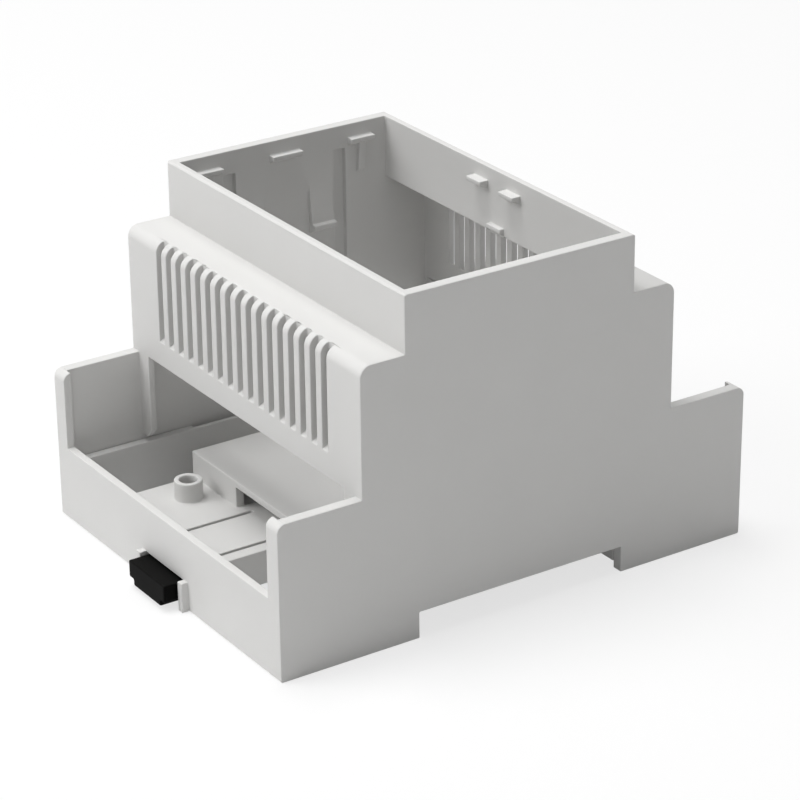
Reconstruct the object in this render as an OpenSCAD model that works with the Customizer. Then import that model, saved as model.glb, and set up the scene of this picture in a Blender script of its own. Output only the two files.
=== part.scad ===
// Modular enclosure for 35 mm mounting rail: a stepped, vented housing that is
// open at the top, a base tray that closes it from below, and a sliding rail clip.
//
// +X runs along the rail, +Y from the clip side to the fixed hooks, +Z away from
// the rail. The origin is the middle of the face that sits on the rail. Inside the
// modules below, y is counted from the clip-side face and z from the feet.

/* [Body] */
// Width along the rail, four 18 mm modules less a joint gap
body_w = 71.5; // [53.5:0.5:107.5]
// Depth across the rail
body_d = 90; // [88:0.5:94]
// Height from the feet to the rim of the upper box
body_h = 59; // [56:0.5:64]
// Height of the corner posts round the terminal bays
post_h = 27; // [24:0.5:28]
// Height of the two shoulders
shoulder_h = 49.2; // [47:0.2:51]
// Depth of each terminal bay, from the end face to the vented wall
bay_d = 15.2; // [14:0.2:16]
// Distance from the end face to the upper box
box_inset = 23.3; // [22:0.1:24.5]
// Height of the low wall across each end
low_wall_h = 13.4; // [12:0.2:15]
// Height at which the vented walls stop above the terminal bays
vent_wall_z = 27.1; // [25:0.1:29]
// Width of the corner posts, side wall included
post_w = 3.4; // [3:0.1:5]

/* [Walls] */
// Thickness of the side walls
side_t = 2; // [1.8:0.1:2.4]
// Thickness of the low end walls
end_t = 1.4; // [1.2:0.1:1.8]
// Thickness of the vented walls
vent_t = 1.2; // [1:0.1:1.6]
// Thickness of the shoulders and of the upper box's end walls
shoulder_t = 1.3; // [1.1:0.1:1.8]
// Rounding along the top of the vented walls
vent_round = 2; // [1:0.1:2.5]
// Rounding of the post tops
post_round = 1.5; // [0.5:0.1:2]
// Small rounding of the other outer corners of the side outline
edge_round = 0.4; // [0.2:0.1:0.8]

/* [Vents] */
// Width of a vent slot
slot_w = 1.6; // [1.2:0.1:2]
// Spacing of the vent slots
slot_pitch = 3.175; // [2.8:0.025:4]
// Least distance from the side face to the middle of the first slot
slot_margin = 10; // [7:0.5:14]
// Height of the lower ends of the slots
slot_z = 31.6; // [30:0.2:36]
// Drop of a slot's sloping lower end through the wall
slot_drop = 0.9; // [0.4:0.1:1.5]

/* [Panel seat] */
// Depth of the panel seat below the rim
panel_drop = 2.4; // [1.6:0.1:3.5]
// Thickness of a panel tab at its root
tab_t = 1.5; // [1:0.1:2]
// How far the tabs on the side walls stand out
side_tab_out = 1.4; // [1:0.1:2]
// Length of the middle tab on a side wall
mid_tab_l = 6; // [4:0.5:8]
// Length of an outer tab on a side wall
outer_tab_l = 4.8; // [3:0.2:6]
// Distance of the outer tabs from the middle
outer_tab_y = 15.1; // [14:0.1:16.5]
// Depth of the rib below an outer tab
tab_rib_h = 6; // [3:0.5:9]
// Thickness of the rib below an outer tab
tab_rib_t = 1.3; // [0.8:0.1:2]
// How far the tabs on the end walls stand out
end_tab_out = 1.7; // [1:0.1:2.2]
// Length of a tab on an end wall
end_tab_l = 4; // [3:0.2:6]
// Distance of the upper end tabs from the middle
end_tab_x = 4.6; // [3.5:0.1:8]

/* [Card holders] */
// Width of the grooves in the side walls
groove_w = 2.4; // [1.6:0.1:3]
// Depth of the grooves
groove_d = 0.9; // [0.5:0.1:1.2]
// Distance of the grooves from the middle
groove_y = 11; // [10.8:0.1:11.4]
// Depth of the groove tops below the rim
groove_drop = 4.2; // [3:0.2:6]
// Height of the lower ends of the grooves
groove_z = 14; // [12:0.5:20]
// Width of a snap finger
finger_w = 4.6; // [3:0.2:5]
// Distance of the snap fingers from the middle
finger_y = 6.9; // [5.5:0.1:7.1]
// Depth of the finger tops below the rim
finger_drop = 9; // [7:0.5:11]
// Height of a snap finger
finger_h = 8.4; // [6:0.2:10]
// How far a finger stands out at its foot
finger_out = 1; // [0.6:0.1:1.4]
// How far the hook at its foot stands out
hook_out = 1.9; // [1.6:0.1:2.4]
// Thickness of the upright ribs beside the vented walls
guide_t = 1.1; // [0.8:0.1:1.6]
// How far the upright ribs stand out of the side walls
guide_out = 3.2; // [1.5:0.1:4]

/* [Rail seat] */
// Width of the rail
rail_w = 35; // [35:35]
// Thickness of the rail's rims
rail_t = 1; // [1:1]
// Length of the feet on the clip side
front_foot = 25.6; // [24:0.1:26]
// Width of the rail recess
recess_w = 39.6; // [38.8:0.1:40.5]
// Depth of the rail recess
recess_h = 4.6; // [4.4:0.1:5.4]
// How far the fixed hooks reach under the rail
hook_reach = 2; // [1.5:0.1:2.4]
// Thickness of the fixed hooks
hook_t = 1.6; // [1.2:0.1:1.8]
// Width of a fixed hook
hook_w = 12; // [8:0.5:15]

/* [Base tray] */
// Clearance between the base and the housing
fit_gap = 0.15; // [0.1:0.05:0.3]
// Height of the base's lower edge above the feet
base_z = 1.1; // [0.6:0.1:1.4]
// Wall thickness of the base
base_t = 1.6; // [1.4:0.1:2]
// Height of the base's side rims
rim_h = 10.8; // [10:0.2:12]
// Height of the decks
deck_h = 7.2; // [7:0.1:7.6]
// Thickness of the decks
deck_t = 1.8; // [1.4:0.1:2]
// Height of the block over the rail
block_h = 12; // [11.2:0.2:13]
// Thickness of the block's roof
block_t = 1.2; // [1:0.1:1.6]
// Thickness of the ribs under the block
seat_rib_t = 1.2; // [1:0.1:1.6]
// Spacing of the ribs under the block
seat_rib_pitch = 7.1; // [6:0.1:7.5]
// Height of the base's end walls
base_wall_h = 8.8; // [8:0.1:10]
// Distance from the end face to the block
block_y = 18.3; // [17.8:0.1:20]
// Distance from the side face to the block and the decks
block_inset = 13.4; // [11:0.2:14]
// Depth of the relief behind the side rims
relief_d = 0.8; // [0.5:0.1:1]

/* [Screw bosses] */
// Outer diameter of a boss
boss_d = 4.8; // [4.4:0.1:5.2]
// Diameter of the pilot hole
pilot_d = 3.1; // [2.5:0.1:3.2]
// Distance of a boss from the side face
boss_inset = 20; // [18:0.5:22]
// Height of a boss above its deck
boss_h = 3.4; // [2:0.2:5]
// Distance of a boss from the end face
boss_y = 13.7; // [12:0.1:13.8]

/* [Rail clip] */
// Width of the clip
clip_w = 11.6; // [10:0.2:12]
// Thickness of the clip's head
head_t = 4.1; // [3.6:0.1:4.2]
// How far the head stands out of the end face
head_out = 3.5; // [3:0.1:6]
// Thickness of the clip's blade
blade_t = 2.4; // [2:0.1:2.6]
// Running clearance round the clip
clip_gap = 0.3; // [0.2:0.05:0.35]
// How far the clip reaches under the rail when shut
clip_reach = 2; // [1.5:0.1:2.4]
// Travel of the clip
clip_travel = 4.5; // [3.5:0.1:5]
// Width of the slots beside the spring tongue
tongue_gap = 0.7; // [0.5:0.1:1]
// Width of the spring tongue
tongue_w = 9.9; // [8:0.1:10.4]
// Width of the ribs that guide the head
rib_w = 1.3; // [1:0.1:2]
// How far the guiding ribs stand out
rib_out = 1.2; // [0.8:0.1:2]

/* [Hidden] */
$fn = 48;
eps = 0.01;

shell_grey = [0.80, 0.80, 0.79];
clip_black = [0.09, 0.09, 0.09];

half_w = body_w / 2;
mid_y = body_d / 2;
inner_x = half_w - side_t;
recess_y1 = front_foot + recess_w;
rail_y = mid_y;
rail_y0 = rail_y - rail_w / 2;
rail_y1 = rail_y + rail_w / 2;
rail_gap = 0.3;
lip_z = recess_h - rail_t - 0.2;

slot_count = floor((body_w - 2 * slot_margin) / slot_pitch) + 1;
slot_span = (slot_count - 1) * slot_pitch;
slot_depth = vent_t + 0.4;

base_x = inner_x - fit_gap;
base_y = end_t + fit_gap;
block_x = half_w - block_inset;
channel_x = clip_w / 2 + clip_gap + base_t + 0.3;
boss_x = half_w - boss_inset;
head_z = 0.65;
clip_top = head_z + head_t;
window_h = clip_top + clip_gap;
keel_w = clip_w - 2.8;
keel_h = 1.1;
blade_top = recess_h - clip_gap;
blade_z = blade_top - blade_t;
nose_y = rail_y0 + clip_reach;
guide_gap = 0.9;
seat_rib_count = floor((block_x - base_t) / seat_rib_pitch);
snap_l = 8;
snap_out = 0.3;
snap_z = deck_h - 1.4;
snap_y = 12;
peg_y = 9;
peg_d = 2.4;

// Turns an outline drawn in depth and height into a bar of width w, centred on x = 0.
module across(w) {
    translate([-w / 2, 0, 0]) rotate([90, 0, 90]) linear_extrude(w) children();
}

// Draws its children on both sides of the middle plane across the rail.
module both_sides() {
    children();
    mirror([1, 0, 0]) children();
}

// Draws its children at the clip end and, mirrored, at the hook end.
module both_ends() {
    children();
    translate([0, body_d, 0]) mirror([0, 1, 0]) children();
}

// What a rounding of radius r takes off the corner at p; sy and sz point inwards.
module corner_waste(p, sy, sz, r) {
    translate(p) scale_flip(sy, sz) difference() {
        translate([-eps, -eps]) square(r + eps);
        translate([r, r]) circle(r);
    }
}

// Mirrors a flat shape so that it opens towards the signs sy and sz.
module scale_flip(sy, sz) {
    mirror([sy < 0 ? 1 : 0, 0]) mirror([0, sz < 0 ? 1 : 0]) children();
}

// Half of the stepped side outline, from the clip-side face to the middle.
module half_outline() {
    difference() {
        polygon([[0, 0], [mid_y + eps, 0], [mid_y + eps, body_h], [box_inset, body_h],
                 [box_inset, shoulder_h], [bay_d, shoulder_h], [bay_d, post_h], [0, post_h]]);
        corner_waste([0, 0], 1, 1, edge_round);
        corner_waste([0, post_h], 1, -1, post_round);
        corner_waste([bay_d, shoulder_h], 1, -1, vent_round);
        corner_waste([box_inset, body_h], 1, -1, edge_round);
    }
}

// Whole side outline, with the recess for the rail.
module side_outline() {
    difference() {
        union() {
            half_outline();
            translate([body_d, 0]) mirror([1, 0]) half_outline();
        }
        translate([front_foot, -1]) square([recess_w, recess_h + 1]);
    }
}

// Room inside the housing: the two open bays, the middle and the upper box.
module room_outline() {
    translate([end_t, -1]) square([body_d - 2 * end_t, vent_wall_z + 1]);
    translate([bay_d + vent_t, -1])
        square([body_d - 2 * (bay_d + vent_t), shoulder_h - shoulder_t + 1]);
    translate([box_inset + shoulder_t, shoulder_h - shoulder_t - 1])
        square([body_d - 2 * (box_inset + shoulder_t), body_h]);
}

// One row of vent slots, with lower ends that slope outwards.
module vent_slots() {
    for (i = [0 : slot_count - 1])
        translate([i * slot_pitch - slot_span / 2, bay_d, slot_z])
            across(slot_w)
                polygon([[-1, -slot_drop], [slot_depth, slot_drop], [slot_depth, body_h],
                         [-1, body_h]]);
}

// Mouth of a terminal bay: the gap between the corner posts above the low wall.
module bay_mouth() {
    mouth = body_w - 2 * post_w;
    translate([-mouth / 2, -1, low_wall_h]) cube([mouth, end_t + 2, body_h]);
    translate([-inner_x, end_t, vent_wall_z - 1]) cube([2 * inner_x, bay_d - end_t, body_h]);
}

// Ledge that a panel snaps under: flat on top, sloping below. Length l, reach out.
module tab(l, out) {
    rotate([90, 0, 0]) translate([0, 0, -l / 2]) linear_extrude(l)
        polygon([[-eps, 0], [out, 0], [out, -tab_t / 2], [-eps, -tab_t]]);
}

// Tabs, ribs and snap fingers on one side wall, and the upright ribs by the vents.
module side_wall_fittings() {
    tab_z = body_h - panel_drop;
    finger_z = body_h - finger_drop - finger_h;
    translate([-inner_x, mid_y, tab_z]) tab(mid_tab_l, side_tab_out);
    for (s = [-1, 1]) {
        translate([-inner_x, mid_y + s * outer_tab_y, tab_z]) {
            tab(outer_tab_l, side_tab_out);
            tab_rib();
        }
        translate([-inner_x, mid_y + s * finger_y, finger_z]) snap_finger();
    }
    both_ends()
        translate([-inner_x - eps, bay_d, rim_h + guide_gap])
            guide_rib();
}

// Tapering rib below an outer tab.
module tab_rib() {
    rotate([90, 0, 0]) translate([0, 0, -tab_rib_t / 2]) linear_extrude(tab_rib_t)
        polygon([[-eps, -tab_t / 3], [side_tab_out * 0.8, -tab_t / 3],
                 [side_tab_out * 0.5, -tab_rib_h], [-eps, -tab_rib_h - side_tab_out * 0.5]]);
}

// Finger that thickens downwards and ends in a hook.
module snap_finger() {
    rotate([90, 0, 0]) translate([0, 0, -finger_w / 2]) linear_extrude(finger_w)
        polygon([[-eps, finger_h], [finger_out, 1], [hook_out, 0.9], [hook_out, 0.2], [-eps, -0.9]]);
}

// Upright rib with a pointed foot, from above the base rim to the vented wall.
module guide_rib() {
    h = vent_wall_z - rim_h - guide_gap + 1;
    w = guide_out + eps;
    rotate([90, 0, 0]) translate([0, 0, -guide_t]) linear_extrude(guide_t)
        polygon([[0, 0], [w * 0.5, 0], [w, w * 0.5], [w, h], [0, h]]);
}

// Two panel tabs under the rim of an end wall and a third at the wall's lower edge.
module end_wall_tabs() {
    wall_y = box_inset + shoulder_t;
    for (x = [-end_tab_x, end_tab_x])
        translate([x, wall_y, body_h - panel_drop]) rotate([0, 0, 90]) tab(end_tab_l, end_tab_out);
    translate([0, wall_y, shoulder_h - shoulder_t + tab_t]) rotate([0, 0, 90])
        tab(end_tab_l, end_tab_out * 0.5);
}

// Upright grooves that narrow the side walls beside the snap fingers.
module side_grooves() {
    top = body_h - groove_drop;
    for (s = [-1, 1])
        translate([-inner_x - groove_d, mid_y + s * groove_y - groove_w / 2, groove_z])
            cube([groove_d + 1, groove_w, top - groove_z]);
}

// Shallow pockets in the side walls that the base snaps into.
module snap_pockets() {
    for (y = [snap_y, body_d - snap_y])
        translate([-inner_x - snap_out, y - snap_l / 2 - fit_gap, snap_z - 1])
            cube([snap_out + 1, snap_l + 2 * fit_gap, 2]);
}

// Ribs on the outer face of the low wall that guide the clip's head.
module head_ribs() {
    both_sides()
        translate([clip_w / 2 + clip_gap, -rib_out, 0]) cube([rib_w, rib_out + eps, window_h + 0.2]);
}

module housing() {
    color(shell_grey) {
        difference() {
            across(body_w) side_outline();
            across(2 * inner_x) room_outline();
            both_ends() {
                bay_mouth();
                vent_slots();
            }
            both_sides() {
                side_grooves();
                snap_pockets();
            }
            translate([-clip_w / 2 - clip_gap, -1, -1])
                cube([clip_w + 2 * clip_gap, end_t + 2, window_h + 1]);
        }
        both_sides() side_wall_fittings();
        both_ends() end_wall_tabs();
        head_ribs();
    }
}

// Outline of a base wall that runs across the rail, with the recess cut in.
module base_outline(top) {
    difference() {
        translate([base_y, base_z]) square([body_d - 2 * base_y, top - base_z]);
        translate([front_foot, 0]) square([recess_w, recess_h]);
    }
}

// Section of the plate over the rail and of the walls that stand before and behind it.
module recess_section() {
    difference() {
        translate([front_foot - base_t, base_z])
            square([recess_w + 2 * base_t, recess_h + deck_t - base_z]);
        translate([front_foot, 0]) square([recess_w, recess_h]);
    }
}

// Side rims, end walls, and the plates over the rail on both sides of the block.
module base_frame() {
    plate_w = base_x - block_x + base_t;
    both_sides() {
        translate([base_x - base_t / 2, 0, 0]) across(base_t) base_outline(rim_h);
        translate([base_x - plate_w / 2, 0, 0]) across(plate_w) recess_section();
    }
    both_ends() {
        translate([-base_x, base_y, base_z]) cube([2 * base_x, base_t, base_wall_h - base_z]);
        translate([-block_x, front_foot - base_t, base_z])
            cube([2 * block_x, base_t, block_h - eps - base_z]);
    }
    base_snaps();
}

// Low ridges that click into the housing's pockets.
module base_snaps() {
    both_sides()
        for (y = [snap_y, body_d - snap_y])
            translate([base_x - eps, y - snap_l / 2, snap_z]) rotate([-90, 0, 0])
                linear_extrude(snap_l) polygon([[0, -0.8], [snap_out, 0], [0, 0.8]]);
}

// Cut behind each side rim that leaves a slit along the housing wall.
module rim_relief() {
    reach = front_foot - 1;
    translate([base_x - relief_d, reach, rim_h - 3]) cube([2, body_d - 2 * reach, 4]);
}

// Deck with its skirts, from x0 to x1 and from the end wall to the block.
module deck(x0, x1) {
    l = block_y + base_t - base_y;
    skirt_l = front_foot - base_y;
    translate([x0, base_y, deck_h - deck_t]) cube([x1 - x0, l, deck_t]);
    for (x = [x0, x1 - base_t])
        translate([x, base_y, base_z]) cube([base_t, skirt_l, deck_h - base_z]);
}

// Deck over the clip, which runs on through the window to the wall by the rail.
module clip_deck() {
    translate([-channel_x, base_y, deck_h - deck_t])
        cube([2 * channel_x, front_foot - base_y, deck_t]);
    both_sides()
        translate([channel_x - base_t, base_y, base_z])
            cube([base_t, front_foot - base_y, deck_h - base_z]);
}

// Block over the rail: open below, with a window where the clip's deck runs in.
module block() {
    l = body_d - 2 * block_y;
    roof_z = block_h - block_t;
    difference() {
        translate([-block_x, block_y, recess_h]) cube([2 * block_x, l, block_h - recess_h]);
        translate([-block_x + base_t, block_y + base_t, 0])
            cube([2 * (block_x - base_t), l - 2 * base_t, roof_z]);
        translate([-channel_x, block_y - 1, deck_h])
            cube([2 * channel_x, base_t + 2, roof_z - deck_h]);
    }
    for (i = [-seat_rib_count : seat_rib_count])
        translate([i * seat_rib_pitch - seat_rib_t / 2, front_foot - eps, recess_h])
            cube([seat_rib_t, recess_w + 2 * eps, block_h - recess_h - eps]);
}

// Places its children at the two bosses, which lie half a turn apart.
module at_bosses() {
    translate([-boss_x, boss_y, 0]) children();
    translate([boss_x, body_d - boss_y, 0]) children();
}

// Post of a screw boss, down to the base's lower edge.
module boss_post() {
    translate([0, 0, base_z]) cylinder(d = boss_d, h = deck_h + boss_h - base_z);
}

// Pilot hole of a screw boss, open at the top and closed below.
module boss_hole() {
    floor_z = base_z + base_t;
    translate([0, 0, floor_z]) cylinder(d = pilot_d, h = deck_h + boss_h - floor_z + 1);
}

// Slots round the spring tongue over the clip.
module tongue_slots() {
    tongue_l = block_y + 1.5 - base_y - base_t;
    y0 = base_y + base_t;
    for (s = [-1, 1])
        translate([s * (tongue_w + tongue_gap) / 2 - tongue_gap / 2, y0, deck_h - deck_t - 1])
            cube([tongue_gap, tongue_l, deck_t + 2]);
    translate([-tongue_w / 2, y0, deck_h - deck_t - 1])
        cube([tongue_w, tongue_gap, deck_t + 2]);
}

// Peg under the tongue that runs in the clip's slot and stops it at both ends.
module stop_peg() {
    translate([0, peg_y, blade_z + 0.6]) cylinder(d = peg_d, h = deck_h - deck_t - blade_z);
}

// Fixed hooks that reach under the far rim of the rail.
module fixed_hooks() {
    tip_y = rail_y1 - hook_reach;
    stop_y = rail_y1 + rail_gap;
    foot_z = lip_z - hook_t;
    both_sides()
        translate([block_x - hook_w / 2, 0, 0])
            across(hook_w)
                polygon([[stop_y, recess_h + eps], [stop_y, lip_z], [tip_y, lip_z],
                         [tip_y, lip_z - 0.5], [tip_y + 1.1, foot_z], [recess_y1 + eps, foot_z],
                         [recess_y1 + eps, recess_h + eps]]);
}

// Clear way for the clip, from the end wall to just past its nose.
module clip_channel_cut() {
    w = clip_w + 2 * clip_gap;
    translate([-w / 2, -1, -1]) cube([w, nose_y + clip_gap + 1, window_h + 1]);
}

module base() {
    color(shell_grey) difference() {
        union() {
            base_frame();
            deck(-block_x, -channel_x + base_t);
            clip_deck();
            translate([0, body_d, 0]) rotate([0, 0, 180]) deck(-block_x, -channel_x + base_t);
            block();
            at_bosses() boss_post();
            fixed_hooks();
        }
        clip_channel_cut();
        tongue_slots();
        at_bosses() boss_hole();
        both_sides() rim_relief();
    }
    color(shell_grey) stop_peg();
}

// Head of the clip: a grip with a narrower keel below it.
module clip_head() {
    l = head_out + base_y + base_t;
    translate([-clip_w / 2, -head_out, head_z + keel_h]) cube([clip_w, l, head_t - keel_h]);
    translate([-keel_w / 2, -head_out, head_z]) cube([keel_w, l, keel_h + eps]);
}

// Blade of the clip with its bevelled nose under the rail.
module clip_blade() {
    y0 = base_y + base_t - eps;
    stop_y = rail_y0 - rail_gap;
    across(clip_w - 0.4)
        polygon([[y0, blade_z], [nose_y - 1.6, blade_z], [nose_y, lip_z - 0.5], [nose_y, lip_z],
                 [stop_y, lip_z], [stop_y, blade_top], [y0, blade_top]]);
}

module rail_clip() {
    slot_l = clip_travel + peg_d + 0.6;
    color(clip_black) difference() {
        union() {
            clip_head();
            clip_blade();
        }
        translate([-peg_d / 2 - 0.3, peg_y - peg_d / 2 - 0.3, blade_z - 1])
            cube([peg_d + 0.6, slot_l, head_t]);
    }
}

translate([0, -rail_y, -recess_h]) housing();
translate([0, -rail_y, -recess_h]) base();
translate([0, -rail_y, -recess_h]) rail_clip();
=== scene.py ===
"""Looks of a modular enclosure for 35 mm mounting rail.

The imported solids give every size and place. This script softens the edges of the three mouldings,
dresses them in their plastics, and sets the floor, the lights and the camera.
"""

import logging
import math
from dataclasses import dataclass, field
from enum import Enum

import bpy
from mathutils import Euler, Matrix, Vector

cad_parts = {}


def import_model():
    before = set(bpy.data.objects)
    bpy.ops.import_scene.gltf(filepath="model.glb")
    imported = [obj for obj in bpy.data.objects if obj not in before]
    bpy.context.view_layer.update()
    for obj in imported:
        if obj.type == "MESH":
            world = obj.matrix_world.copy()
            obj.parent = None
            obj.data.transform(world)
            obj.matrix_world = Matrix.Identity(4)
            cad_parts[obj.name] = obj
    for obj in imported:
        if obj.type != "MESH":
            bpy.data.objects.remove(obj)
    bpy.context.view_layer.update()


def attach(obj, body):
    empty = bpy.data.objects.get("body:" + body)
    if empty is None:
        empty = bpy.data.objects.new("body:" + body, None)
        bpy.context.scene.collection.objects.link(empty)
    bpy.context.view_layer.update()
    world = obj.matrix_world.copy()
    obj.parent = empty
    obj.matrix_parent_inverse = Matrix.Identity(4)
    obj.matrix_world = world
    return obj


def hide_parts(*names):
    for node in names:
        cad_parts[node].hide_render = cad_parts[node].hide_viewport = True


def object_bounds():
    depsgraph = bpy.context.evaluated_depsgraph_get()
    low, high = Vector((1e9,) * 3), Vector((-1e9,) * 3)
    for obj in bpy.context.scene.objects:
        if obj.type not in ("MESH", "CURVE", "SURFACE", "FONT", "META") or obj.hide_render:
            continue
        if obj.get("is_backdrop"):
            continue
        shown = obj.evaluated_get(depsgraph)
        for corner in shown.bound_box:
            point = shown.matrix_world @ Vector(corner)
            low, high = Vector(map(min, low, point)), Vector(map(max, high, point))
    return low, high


LOG = logging.getLogger("enclosure")
MM = 0.001

WHITE = (1.0, 1.0, 1.0, 1.0)
GRAIN_DETAIL = 2.0       # octaves of the coarse grain
FINE_GRAIN_RATIO = 2.7   # how many fine grains go into the width of a coarse one
FINE_GRAIN_DETAIL = 1.0  # octaves of the fine grain
FINE_GRAIN_SHARE = 0.5   # height of the fine grain for each unit of the coarse one
MOTTLE_DETAIL = 3.0      # octaves of the mottle
NOISE_MEAN = 0.5         # what a Noise Texture gives on average

Colour = tuple[float, float, float]
Point = tuple[float, float, float]
Value = float | bpy.types.NodeSocket


class Body(Enum):
    """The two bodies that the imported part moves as."""

    ENCLOSURE = "enclosure"
    CLIP = "clip"


class Node(Enum):
    """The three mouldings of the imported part."""

    HOUSING = "housing"
    BASE = "base"
    CLIP = "rail_clip"


class Slot(Enum):
    """The record's material slots."""

    SHELL = "shell"
    CLIP = "clip"


# ---------------------------------------------------------------------------------------------
# Small helpers
# ---------------------------------------------------------------------------------------------


def select_only(piece: bpy.types.Object) -> None:
    """Deselects everything, then selects one object and makes it active.

    Args:
        piece: The object that the next operator works on.
    """
    bpy.ops.object.select_all(action="DESELECT")
    piece.select_set(True)
    bpy.context.view_layer.objects.active = piece


def linear(value: float) -> float:
    """Turns one display value from 0 to 1 into a linear one, by the sRGB curve.

    Args:
        value: The display value.

    Returns:
        The linear value.
    """
    straight_until, straight_slope, offset, power = 0.04045, 12.92, 0.055, 2.4
    if value <= straight_until:
        return value / straight_slope
    return ((value + offset) / (1 + offset)) ** power


def rgba(colour: Colour) -> tuple[float, float, float, float]:
    """Turns a display colour into a linear one with full alpha.

    Args:
        colour: The display colour.

    Returns:
        The linear red, green and blue, and 1.
    """
    return (*(linear(c) for c in colour), 1.0)


# ---------------------------------------------------------------------------------------------
# Finishes
# ---------------------------------------------------------------------------------------------


class NodeTree:
    """A thin wrapper that adds nodes and links to a shader tree in one line each."""

    def __init__(self, tree: bpy.types.NodeTree) -> None:
        """Keeps the tree that nodes are added to.

        Args:
            tree: The shader tree.
        """
        self.tree = tree

    def add(self, kind: str, **settings: object) -> bpy.types.Node:
        """Adds one node.

        Args:
            kind: The node's type. ShaderNode is put before it, unless it starts with Node.
            settings: Properties to set on the node.

        Returns:
            The new node.
        """
        prefix = "" if kind.startswith("Node") else "ShaderNode"
        node = self.tree.nodes.new(prefix + kind)
        for name, value in settings.items():
            setattr(node, name, value)
        return node

    def link(self, source: bpy.types.NodeSocket, target: bpy.types.NodeSocket) -> None:
        """Links one socket to another.

        Args:
            source: An output.
            target: The input that takes its value.
        """
        self.tree.links.new(source, target)

    def feed(self, value: Value, target: bpy.types.NodeSocket) -> None:
        """Links a socket to an input, or sets the input to a number.

        Args:
            value: A number or an output.
            target: The input.
        """
        if isinstance(value, bpy.types.NodeSocket):
            self.link(value, target)
        else:
            target.default_value = value

    def maths(self, operation: str, *values: Value) -> bpy.types.NodeSocket:
        """Adds a Math node.

        Args:
            operation: The node's operation.
            values: A number or a socket for each input, in order.

        Returns:
            The node's output.
        """
        node = self.add("Math", operation=operation)
        for target, value in zip(node.inputs, values):
            self.feed(value, target)
        return node.outputs[0]

    def noise(
        self, position: bpy.types.NodeSocket, scale: Value, detail: float
    ) -> bpy.types.NodeSocket:
        """Adds a Noise Texture.

        Args:
            position: The socket that gives each point's position.
            scale: A number, or a socket that gives it.
            detail: How many octaves are added.

        Returns:
            The noise value, about 0.5 on average.
        """
        node = self.add("TexNoise")
        self.link(position, node.inputs["Vector"])
        self.feed(scale, node.inputs["Scale"])
        self.feed(detail, node.inputs["Detail"])
        return node.outputs["Fac"]

    def coloured(
        self, kind: str, colour: tuple[float, ...], **numbers: float
    ) -> bpy.types.NodeSocket:
        """Adds a shader of one plain colour.

        Args:
            kind: The shader's type.
            colour: Its linear colour with alpha.
            numbers: A number for each further input, by the input's name.

        Returns:
            The shader's output.
        """
        node = self.add(kind)
        node.inputs["Color"].default_value = colour
        for name, number in numbers.items():
            node.inputs[name].default_value = number
        return node.outputs[0]

    def mixed(
        self, factor: Value, first: bpy.types.NodeSocket, second: bpy.types.NodeSocket
    ) -> bpy.types.NodeSocket:
        """Mixes two shaders.

        Args:
            factor: How much of the second one shows, from 0 to 1.
            first: The first shader's output.
            second: The second shader's output.

        Returns:
            The mixed shader's output.
        """
        mix = self.add("MixShader")
        for value, target in zip((factor, first, second), mix.inputs):
            self.feed(value, target)
        return mix.outputs[0]

    def looked_at(self) -> bpy.types.NodeSocket:
        """Gives 1 on rays from the camera and on those that it sees in gloss or through glass.

        Returns:
            The test's socket.
        """
        path = self.add("LightPath").outputs
        gloss = self.maths("MAXIMUM", path["Is Glossy Ray"], path["Is Transmission Ray"])
        return self.maths("MAXIMUM", path["Is Camera Ray"], gloss)


def moulded_surface_group() -> bpy.types.NodeTree:
    """Builds the effect that all moulded plastics share: a fine eroded grain and a faint mottle.

    Returns:
        A group with inputs Position, Grain Scale, Mottle Scale, Mottle, Gloss and Gloss Change and
        with outputs Grain, Shade and Roughness.
    """
    name = "moulded_surface"
    if name in bpy.data.node_groups:
        return bpy.data.node_groups[name]
    group = bpy.data.node_groups.new(name, "ShaderNodeTree")
    face = group.interface
    face.new_socket("Position", in_out="INPUT", socket_type="NodeSocketVector")
    for socket in ("Grain Scale", "Mottle Scale", "Mottle", "Gloss", "Gloss Change"):
        face.new_socket(socket, in_out="INPUT", socket_type="NodeSocketFloat")
    for socket in ("Grain", "Shade", "Roughness"):
        face.new_socket(socket, in_out="OUTPUT", socket_type="NodeSocketFloat")
    tree = NodeTree(group)
    given = tree.add("NodeGroupInput").outputs
    result = tree.add("NodeGroupOutput").inputs
    coarse = tree.noise(given["Position"], given["Grain Scale"], GRAIN_DETAIL)
    fine_scale = tree.maths("MULTIPLY", given["Grain Scale"], FINE_GRAIN_RATIO)
    fine = tree.noise(given["Position"], fine_scale, FINE_GRAIN_DETAIL)
    tree.link(tree.maths("MULTIPLY_ADD", fine, FINE_GRAIN_SHARE, coarse), result["Grain"])
    mottle = tree.noise(given["Position"], given["Mottle Scale"], MOTTLE_DETAIL)
    swing = tree.maths("SUBTRACT", mottle, NOISE_MEAN)
    shade = tree.maths("MULTIPLY_ADD", swing, given["Mottle"], 1.0)
    tree.link(shade, result["Shade"])
    rough = tree.maths("MULTIPLY_ADD", swing, given["Gloss Change"], given["Gloss"])
    tree.link(rough, result["Roughness"])
    return group


def emptied_tree(owner: bpy.types.Material | bpy.types.World) -> NodeTree:
    """Gives the shader tree of a material or a world, without its default nodes.

    Args:
        owner: The material or the world.

    Returns:
        The empty tree.
    """
    owner.use_nodes = True
    owner.node_tree.nodes.clear()
    return NodeTree(owner.node_tree)


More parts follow.
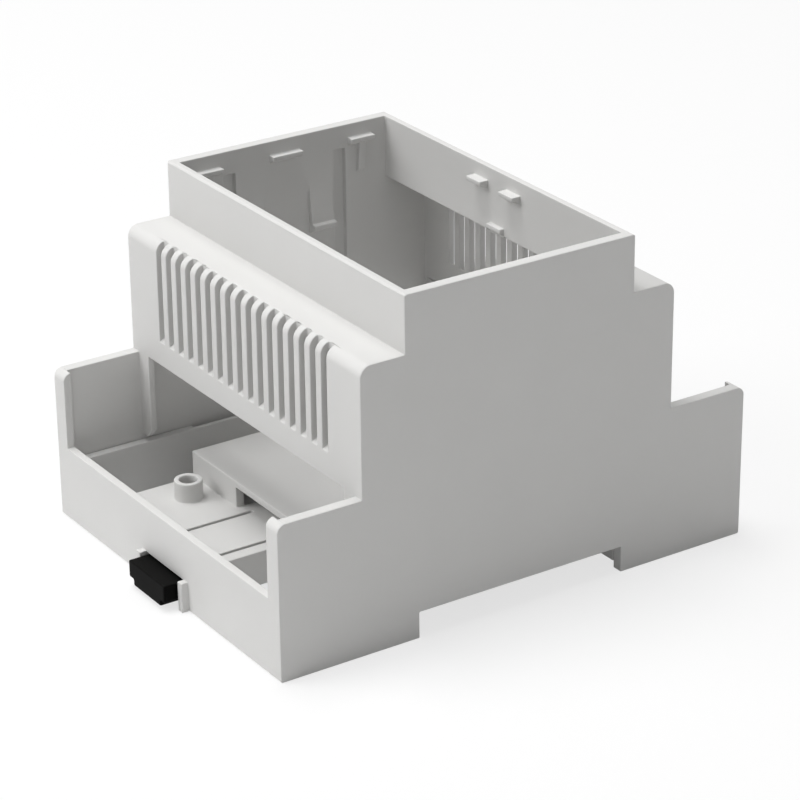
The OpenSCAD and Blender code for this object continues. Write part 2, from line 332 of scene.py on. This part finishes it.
@dataclass(frozen=True)
class MouldedPlastic:
    """One moulded plastic.

    Attributes:
        name: The material's name.
        slot: The record's material slot that it stands for.
        colour: Its colour, as a display colour.
        roughness: Its mean roughness.
        roughness_change: How far the roughness swings over the surface.
        specular: How strongly it reflects at right angles.
        mottle: How far its brightness swings over the surface.
        mottle_size: The width of a patch of that swing, in metres.
        grain_size: The width of a grain of the mould's texture, in metres.
        grain_height: The height of a grain, in metres.
    """

    name: str
    slot: Slot
    colour: Colour
    roughness: float
    roughness_change: float
    specular: float
    mottle: float
    mottle_size: float
    grain_size: float
    grain_height: float

    def material(self) -> bpy.types.Material:
        """Builds the material, once.

        Returns:
            The material.
        """
        if self.name in bpy.data.materials:
            return bpy.data.materials[self.name]
        material = bpy.data.materials.new(self.name)
        tree = emptied_tree(material)
        surface = tree.add("Group", node_tree=moulded_surface_group())
        tree.link(tree.add("TexCoord").outputs["Object"], surface.inputs["Position"])
        settings = {
            "Grain Scale": 1 / self.grain_size,
            "Mottle Scale": 1 / self.mottle_size,
            "Mottle": self.mottle,
            "Gloss": self.roughness,
            "Gloss Change": self.roughness_change,
        }
        for socket, number in settings.items():
            tree.feed(number, surface.inputs[socket])
        tint = tree.add("VectorMath", operation="SCALE")
        tint.inputs[0].default_value = rgba(self.colour)[:3]
        tree.link(surface.outputs["Shade"], tint.inputs["Scale"])
        bump = tree.add("Bump")
        bump.inputs["Strength"].default_value = 1.0
        bump.inputs["Distance"].default_value = self.grain_height
        tree.link(surface.outputs["Grain"], bump.inputs["Height"])
        shader = tree.add("BsdfPrincipled")
        shader.inputs["Specular IOR Level"].default_value = self.specular
        tree.link(tint.outputs["Vector"], shader.inputs["Base Color"])
        tree.link(surface.outputs["Roughness"], shader.inputs["Roughness"])
        tree.link(bump.outputs["Normal"], shader.inputs["Normal"])
        output = tree.add("OutputMaterial")
        tree.link(shader.outputs["BSDF"], output.inputs["Surface"])
        return material


SHELL_PLASTIC = MouldedPlastic(
    name="warm_grey_plastic",
    slot=Slot.SHELL,
    colour=(0.815, 0.813, 0.807),
    roughness=0.52,
    roughness_change=0.12,
    specular=0.4,
    mottle=0.05,
    mottle_size=14 * MM,
    grain_size=0.32 * MM,
    grain_height=0.012 * MM,
)
CLIP_PLASTIC = MouldedPlastic(
    name="black_plastic",
    slot=Slot.CLIP,
    colour=(0.009, 0.0083, 0.007),
    roughness=0.6,
    roughness_change=0.1,
    specular=0.06,
    mottle=0.2,
    mottle_size=5 * MM,
    grain_size=0.25 * MM,
    grain_height=0.01 * MM,
)


# ---------------------------------------------------------------------------------------------
# Mouldings
# ---------------------------------------------------------------------------------------------


@dataclass
class Moulding:
    """One moulding of the enclosure, with the softened edges that a mould leaves.

    Attributes:
        node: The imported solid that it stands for.
        body: The body that it moves with.
        finish: Its plastic.
        edge: The width of its softened edges, in metres.
        steps: How many faces go round a softened edge.
        weld: How close two corners are merged, in metres.
        crease: The least angle between faces that counts as an edge, in degrees.
        clear_run: The least run without corners that gets a cut across it, in metres.
        cut_snap: How close to a cut a corner counts as lying on it, in metres.
        flatness: The greatest angle between faces that count as one plane, in degrees.
        smooth: The greatest angle between faces that are shaded as one surface, in degrees.
        flat_pull: How much the larger face sets the shading at a corner, from 1 to 100.
    """

    node: Node
    body: Body
    finish: MouldedPlastic
    edge: float
    steps: int = 2
    weld: float = 0.002 * MM
    crease: float = 24.0
    clear_run: float = 0.9 * MM
    cut_snap: float = 0.001 * MM
    flatness: float = 0.3
    smooth: float = 40.0
    flat_pull: int = 100

    def build(self) -> bpy.types.Object:
        """Builds the piece, dresses it and sets it on its body.

        Returns:
            The finished piece.
        """
        piece = self.solid_copy()
        self.weld_corners(piece)
        self.lay_face_grid(piece)
        self.soften_edges(piece)
        self.dress(piece)
        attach(piece, self.body.value)
        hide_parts(self.node.value)
        return piece

    def solid_copy(self) -> bpy.types.Object:
        """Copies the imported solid's mesh into a piece of its own.

        Returns:
            The new object, which sits at the origin.
        """
        solid = bpy.data.objects[self.node.value]
        piece = bpy.data.objects.new(f"{self.node.value}_moulding", solid.data.copy())
        bpy.context.scene.collection.objects.link(piece)
        return piece

    def weld_corners(self, piece: bpy.types.Object) -> None:
        """Joins the loose faces of the copy at their corners.

        Args:
            piece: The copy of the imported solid.
        """
        select_only(piece)
        bpy.ops.object.mode_set(mode="EDIT")
        bpy.ops.mesh.select_all(action="SELECT")
        bpy.ops.mesh.remove_doubles(threshold=self.weld)
        bpy.ops.object.mode_set(mode="OBJECT")

    def lay_face_grid(self, piece: bpy.types.Object) -> None:
        """Turns the copy's slivers into a grid of simple faces, on which edges round cleanly.

        The copy is cut across each axis halfway along every run without corners. Only the cuts are
        then kept between faces that lie in one plane.

        Args:
            piece: The piece with its corners joined.
        """
        cuts = [(axis, level) for axis in range(3) for level in self.clear_levels(piece, axis)]
        select_only(piece)
        bpy.ops.object.mode_set(mode="EDIT")
        for axis, level in cuts:
            across = Vector((axis == 0, axis == 1, axis == 2))
            bpy.ops.mesh.select_all(action="SELECT")
            bpy.ops.mesh.bisect(plane_co=across * level, plane_no=across, threshold=self.cut_snap)
            bpy.ops.mesh.mark_seam(clear=False)
        bpy.ops.mesh.select_all(action="SELECT")
        bpy.ops.mesh.dissolve_limited(
            angle_limit=math.radians(self.flatness), use_dissolve_boundaries=True, delimit={"SEAM"}
        )
        bpy.ops.mesh.mark_seam(clear=True)
        bpy.ops.object.mode_set(mode="OBJECT")

    def clear_levels(self, piece: bpy.types.Object, axis: int) -> list[float]:
        """Finds the levels along an axis that stay well clear of every corner.

        Args:
            piece: The piece to look at.
            axis: 0, 1 or 2 for X, Y or Z.

        Returns:
            The middle of each run without corners, in metres.
        """
        decimals = 6  # of a metre
        corners = sorted({round(corner.co[axis], decimals) for corner in piece.data.vertices})
        runs = zip(corners, corners[1:])
        return [(start + end) / 2 for start, end in runs if end - start > self.clear_run]

    def soften_edges(self, piece: bpy.types.Object) -> None:
        """Rounds every sharp edge by the width that the mould leaves, and keeps flat faces flat.

        Args:
            piece: The piece with its faces laid out in a grid.
        """
        select_only(piece)
        bevel = piece.modifiers.new("softened_edges", "BEVEL")
        bevel.width = self.edge
        bevel.segments = self.steps
        bevel.limit_method = "ANGLE"
        bevel.angle_limit = math.radians(self.crease)
        bevel.use_clamp_overlap = False
        bevel.miter_outer = "MITER_ARC"
        bpy.ops.object.modifier_apply(modifier=bevel.name)
        bpy.ops.object.shade_smooth_by_angle(angle=math.radians(self.smooth))
        normals = piece.modifiers.new("flat_faces", "WEIGHTED_NORMAL")
        normals.keep_sharp = True
        normals.weight = self.flat_pull
        bpy.ops.object.modifier_apply(modifier=normals.name)

    def dress(self, piece: bpy.types.Object) -> None:
        """Gives the piece its plastic.

        Args:
            piece: The piece to dress.
        """
        piece.data.materials.clear()
        piece.data.materials.append(self.finish.material())


@dataclass
class Housing(Moulding):
    """The stepped, vented shell."""

    node: Node = Node.HOUSING
    body: Body = Body.ENCLOSURE
    finish: MouldedPlastic = SHELL_PLASTIC
    edge: float = 0.15 * MM


@dataclass
class BaseTray(Moulding):
    """The tray that closes the shell from below."""

    node: Node = Node.BASE
    body: Body = Body.ENCLOSURE
    finish: MouldedPlastic = SHELL_PLASTIC
    edge: float = 0.18 * MM


@dataclass
class RailClip(Moulding):
    """The sliding clip."""

    node: Node = Node.CLIP
    body: Body = Body.CLIP
    finish: MouldedPlastic = CLIP_PLASTIC
    edge: float = 0.25 * MM


# ---------------------------------------------------------------------------------------------
# Studio
# ---------------------------------------------------------------------------------------------


@dataclass(frozen=True)
class SoftLight:
    """A square area light aimed at the enclosure.

    Attributes:
        name: The light's name.
        azimuth: Its direction in degrees, from -Y towards +X.
        elevation: Its height above the floor, in degrees.
        distance: Its distance from the aim, in metres.
        width: The length of its side, in metres.
        power: Its power, in watts.
    """

    name: str
    azimuth: float
    elevation: float
    distance: float
    width: float
    power: float

    def build(self, aim: Vector) -> bpy.types.Object:
        """Makes the light.

        Args:
            aim: The point that it faces.

        Returns:
            The light object.
        """
        area = bpy.data.lights.new(self.name, "AREA")
        area.shape = "SQUARE"
        area.size = self.width
        area.energy = self.power
        lamp = bpy.data.objects.new(self.name, area)
        bpy.context.scene.collection.objects.link(lamp)
        away = direction(self.azimuth, self.elevation)
        lamp.location = aim + away * self.distance
        lamp.rotation_euler = away.to_track_quat("Z", "Y").to_euler()
        return lamp


def direction(azimuth: float, elevation: float) -> Vector:
    """Gives the unit vector towards a place seen from the enclosure.

    Args:
        azimuth: Degrees from -Y towards +X.
        elevation: Degrees above the floor.

    Returns:
        The unit vector.
    """
    turn, lift = math.radians(azimuth), math.radians(elevation)
    level = math.cos(lift)
    return Vector((math.sin(turn) * level, -math.cos(turn) * level, math.sin(lift)))


@dataclass
class Studio:
    """The floor, the white surroundings, the lights and the camera.

    Attributes:
        floor_size: The width of the floor, in metres.
        floor_colour: The linear colour of the floor's shaded share.
        floor_glow: How much of the floor's look is plain white, from 0 to 1.
        ambient: The brightness of the surroundings, as the enclosure sees them.
        lights: The lights.
        camera_aim: The point at the middle of the view, in metres.
        camera_azimuth: The camera's direction in degrees, from -Y towards +X.
        camera_elevation: The camera's height above the floor, in degrees.
        camera_roll: The camera's turn about its own axis, in degrees.
        camera_distance: The camera's distance from its aim, in metres.
        lens: The camera's focal length, in millimetres.
        sensor: The width of its sensor, in millimetres.
        near: The least distance that it sees at, in metres.
    """

    floor_size: float = 6.0
    floor_colour: Colour = (0.86, 0.86, 0.86)
    floor_glow: float = 0.7
    ambient: float = 0.22
    lights: list[SoftLight] = field(
        default_factory=lambda: [
            SoftLight("key_light", azimuth=-25, elevation=35, distance=1.2, width=0.7, power=6.5),
            SoftLight("top_light", azimuth=-60, elevation=80, distance=1.1, width=0.6, power=9.5),
            SoftLight("side_light", azimuth=75, elevation=30, distance=1.3, width=0.9, power=0.8),
        ]
    )
    camera_aim: Point = (0.002464, -0.000827, 0.019364)
    camera_azimuth: float = 56.71
    camera_elevation: float = 24.44
    camera_roll: float = -0.605
    camera_distance: float = 0.5175
    lens: float = 140.74
    sensor: float = 36.0
    near: float = 0.01

    def build(self) -> None:
        """Builds the whole studio round the enclosure."""
        low, high = (Vector(corner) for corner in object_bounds())
        self.build_world()
        self.build_floor(low.z)
        for light in self.lights:
            light.build((low + high) / 2)
        self.build_camera()

    def build_world(self) -> None:
        """Makes the surroundings: white to look at, dimmer as a light."""
        world = bpy.data.worlds.new("surroundings")
        bpy.context.scene.world = world
        tree = emptied_tree(world)
        light = tree.coloured("Background", WHITE, Strength=self.ambient)
        seen = tree.coloured("Background", WHITE, Strength=1.0)
        output = tree.add("OutputWorld")
        tree.link(tree.mixed(tree.looked_at(), light, seen), output.inputs["Surface"])

    def build_floor(self, level: float) -> None:
        """Makes the pale floor, which keeps a soft shadow.

        Args:
            level: The height that the enclosure stands at, in metres.
        """
        bpy.ops.object.select_all(action="DESELECT")
        bpy.ops.mesh.primitive_plane_add(size=self.floor_size, location=(0, 0, level))
        floor = bpy.context.object
        floor.name = "floor"
        material = bpy.data.materials.new("white_floor")
        tree = emptied_tree(material)
        paper = tree.coloured("BsdfDiffuse", (*self.floor_colour, 1.0))
        glow = tree.coloured("Emission", WHITE)
        share = tree.maths("MULTIPLY", tree.looked_at(), self.floor_glow)
        output = tree.add("OutputMaterial")
        tree.link(tree.mixed(share, paper, glow), output.inputs["Surface"])
        floor.data.materials.append(material)
        floor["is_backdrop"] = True

    def build_camera(self) -> None:
        """Makes the camera and lets the scene look through it."""
        optics = bpy.data.cameras.new("camera")
        optics.lens = self.lens
        optics.sensor_width = self.sensor
        optics.clip_start = self.near
        camera = bpy.data.objects.new("camera", optics)
        bpy.context.scene.collection.objects.link(camera)
        away = direction(self.camera_azimuth, self.camera_elevation)
        place = Vector(self.camera_aim) + away * self.camera_distance
        turn = Euler(
            (math.radians(90 - self.camera_elevation), 0, math.radians(self.camera_azimuth))
        ).to_matrix()
        roll = Matrix.Rotation(math.radians(self.camera_roll), 3, "Z")
        camera.matrix_world = Matrix.Translation(place) @ (turn @ roll).to_4x4()
        bpy.context.scene.camera = camera


def main() -> None:
    """Builds the enclosure and its studio, piece by piece."""
    logging.basicConfig(level=logging.INFO, format="%(message)s")
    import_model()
    bpy.context.scene.view_settings.view_transform = "Standard"
    for part in (Housing(), BaseTray(), RailClip()):
        piece = part.build()
        LOG.info("%s: %d faces in %s", piece.name, len(piece.data.polygons), part.finish.name)
    Studio().build()


if __name__ == "__main__":
    main()
